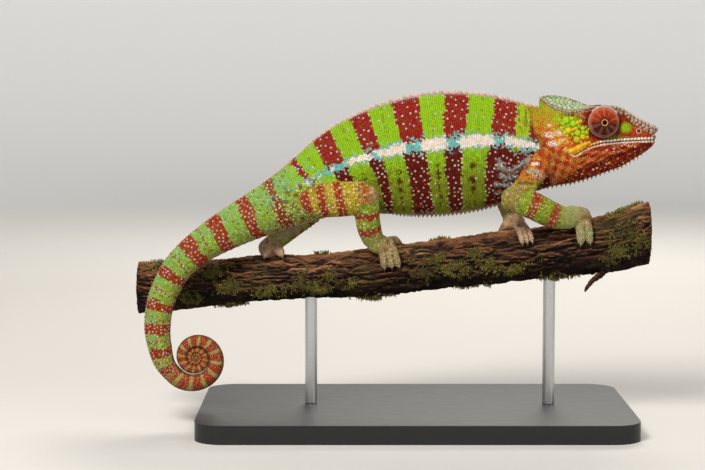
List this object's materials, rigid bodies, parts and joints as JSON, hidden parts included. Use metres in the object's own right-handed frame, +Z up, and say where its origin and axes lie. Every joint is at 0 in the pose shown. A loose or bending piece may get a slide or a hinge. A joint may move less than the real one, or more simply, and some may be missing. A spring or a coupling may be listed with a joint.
{
  "type": "panther chameleon on a cut branch",
  "caption": "Life-size still model of an adult male panther chameleon walking along a cut length of branch, tail hanging in a coil, on a plain display stand.",
  "frame": {"origin": "centre of the underside of the stand's base", "axes": "+X the way the animal faces, +Z up, -Y its right side, which the camera sees"},
  "size_m": [0.2557, 0.12, 0.1645],
  "materials": {
    "skin": "granular scales in green bands on deep red, with a white stripe along the side",
    "casque_skin": "flat blue-green plates edged by pale beads",
    "eye_skin": "fine scales, red with pale rays",
    "eyeball": "wet gloss, dark pupil in a golden ring",
    "foot_skin": "fine pale scales and horn-coloured claws",
    "bark": "rough fissured bark with moss, cut ends of bare wood",
    "stand_base": "satin black",
    "stand_rod": "satin"
  },
  "bodies": {
    "root": {"head": "skin", "lower_jaw": "skin", "neck": "skin", "trunk": "skin", "tail_base": "skin", "tail_middle": "skin", "tail_bend": "skin", "tail_coil_outer": "skin", "tail_coil_inner": "skin", "casque": "casque_skin", "eye_turret_right": "eye_skin", "eyeball_right": "eyeball", "eye_turret_left": "eye_skin", "eyeball_left": "eyeball", "right_foreleg_upper": "skin", "right_foreleg_lower": "skin", "right_foreleg_palm": "foot_skin", "right_foreleg_outer_toes": "foot_skin", "right_foreleg_inner_toes": "foot_skin", "left_foreleg_upper": "skin", "left_foreleg_lower": "skin", "left_foreleg_palm": "foot_skin", "left_foreleg_outer_toes": "foot_skin", "left_foreleg_inner_toes": "foot_skin", "right_hind_leg_upper": "skin", "right_hind_leg_lower": "skin", "right_hind_leg_palm": "foot_skin", "right_hind_leg_outer_toes": "foot_skin", "right_hind_leg_inner_toes": "foot_skin", "left_hind_leg_upper": "skin", "left_hind_leg_lower": "skin", "left_hind_leg_palm": "foot_skin", "left_hind_leg_outer_toes": "foot_skin", "left_hind_leg_inner_toes": "foot_skin", "perch": "bark", "stand_base": "stand_base", "stand_rod_rear": "stand_rod", "stand_rod_front": "stand_rod"}
  },
  "joints": []
}
